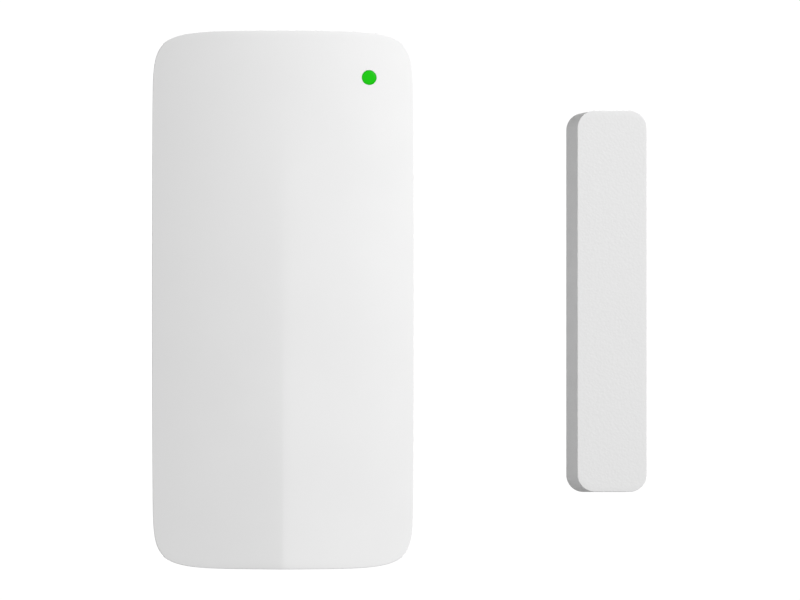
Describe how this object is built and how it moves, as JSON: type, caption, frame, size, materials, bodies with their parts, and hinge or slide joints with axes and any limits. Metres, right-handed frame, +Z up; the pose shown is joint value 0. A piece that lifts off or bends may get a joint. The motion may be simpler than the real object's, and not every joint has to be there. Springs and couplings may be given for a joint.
{
  "type": "door contact sensor",
  "caption": "White wireless door contact: a wall sensor unit with a hinged, softly ridged front cover, and a slim magnet unit for the door.",
  "frame": {"origin": "centre of the sensor unit's mounting face, on the wall plane", "axes": "+Z up the wall along the sensor unit's long side, +Y into the wall, +X to the right seen from the front, towards the magnet unit"},
  "size_m": [0.0877, 0.021, 0.093],
  "materials": {
    "cover_plastic": "satin, smooth",
    "grained_plastic": "fine spark-eroded grain",
    "plate_plastic": "matt",
    "light_plastic": "lit green, flush with the cover",
    "foam_tape": "closed-cell foam",
    "board_laminate": "green solder mask",
    "module_laminate": "blue solder mask",
    "screw_steel": "zinc plated",
    "tinned_steel": "tin plated",
    "contact_steel": "nickel plated",
    "spring_steel": "nickel plated wire",
    "copper_alloy": "enamelled wire",
    "reed_alloy": "flash plated",
    "reed_glass": "clear, green tint",
    "led_package": "moulded, clear lens",
    "chip_resin": "moulded epoxy",
    "chip_ceramic": "fired, tinned ends",
    "capacitor_can": "sleeve-free can",
    "switch_plastic": "moulded",
    "key_plastic": "moulded",
    "cell_wrap": "shrink sleeve, plain",
    "magnet_plating": "nickel plated"
  },
  "bodies": {
    "wall_unit": {"back_plate": "plate_plastic", "adhesive_pads": "foam_tape", "circuit_board": "board_laminate", "board_screws": "screw_steel", "status_led": "led_package", "radio_module": "module_laminate", "radio_shield": "tinned_steel", "antenna_coil": "copper_alloy", "processor_chip": "chip_resin", "crystal": "tinned_steel", "capacitor": "capacitor_can", "resistors": "chip_ceramic", "tamper_switch": "switch_plastic", "setup_switch": "switch_plastic", "reed_glass": "reed_glass", "reed_fixed_lead": "reed_alloy", "reed_anchor_lead": "reed_alloy", "battery_cell_left": "cell_wrap", "battery_cell_right": "cell_wrap", "battery_springs": "spring_steel", "battery_bridge": "contact_steel", "battery_plus_contact": "contact_steel", "battery_minus_contact": "contact_steel"},
    "cover_body": {"front_cover": "cover_plastic", "light_guide": "light_plastic"},
    "tamper_body": {"tamper_plunger": "key_plastic"},
    "setup_body": {"setup_button": "key_plastic"},
    "reed_body": {"reed_armature": "reed_alloy"},
    "magnet_body": {"magnet_base": "plate_plastic", "magnet_adhesive": "foam_tape", "bar_magnet": "magnet_plating"},
    "magnet_cover_body": {"magnet_cover": "grained_plastic"}
  },
  "joints": [
    {"name": "cover_swing", "type": "hinge", "parent": "wall_unit", "child": "cover_body", "pos_m": [0, -0.00155, 0.045], "axis": [-1, 0, 0], "range_deg": [0, 60]},
    {"name": "tamper_travel", "type": "slide", "parent": "wall_unit", "child": "tamper_body", "axis": [0, -1, 0], "range_m": [0, 0.0012]},
    {"name": "setup_press", "type": "slide", "parent": "wall_unit", "child": "setup_body", "axis": [0, 1, 0], "range_m": [0, 0.0004], "stiffness_N_per_m": 600},
    {"name": "reed_closing", "type": "hinge", "parent": "wall_unit", "child": "reed_body", "pos_m": [0.0164, -0.008, 0.0059], "axis": [1, 0, 0], "range_deg": [0, 1.4]},
    {"name": "door_travel", "type": "slide", "parent": "wall_unit", "child": "magnet_body", "axis": [1, 0, 0], "range_m": [-0.022, 0]},
    {"name": "magnet_cover_pull", "type": "slide", "parent": "magnet_body", "child": "magnet_cover_body", "axis": [0, -1, 0], "range_m": [0, 0.012]}
  ],
  "couplings": [
    {"joint": "tamper_travel", "follows": "cover_swing", "m_per_rad": 0.0011459},
    {"joint": "reed_closing", "follows": "door_travel", "rad_per_m": -1.1107}
  ]
}
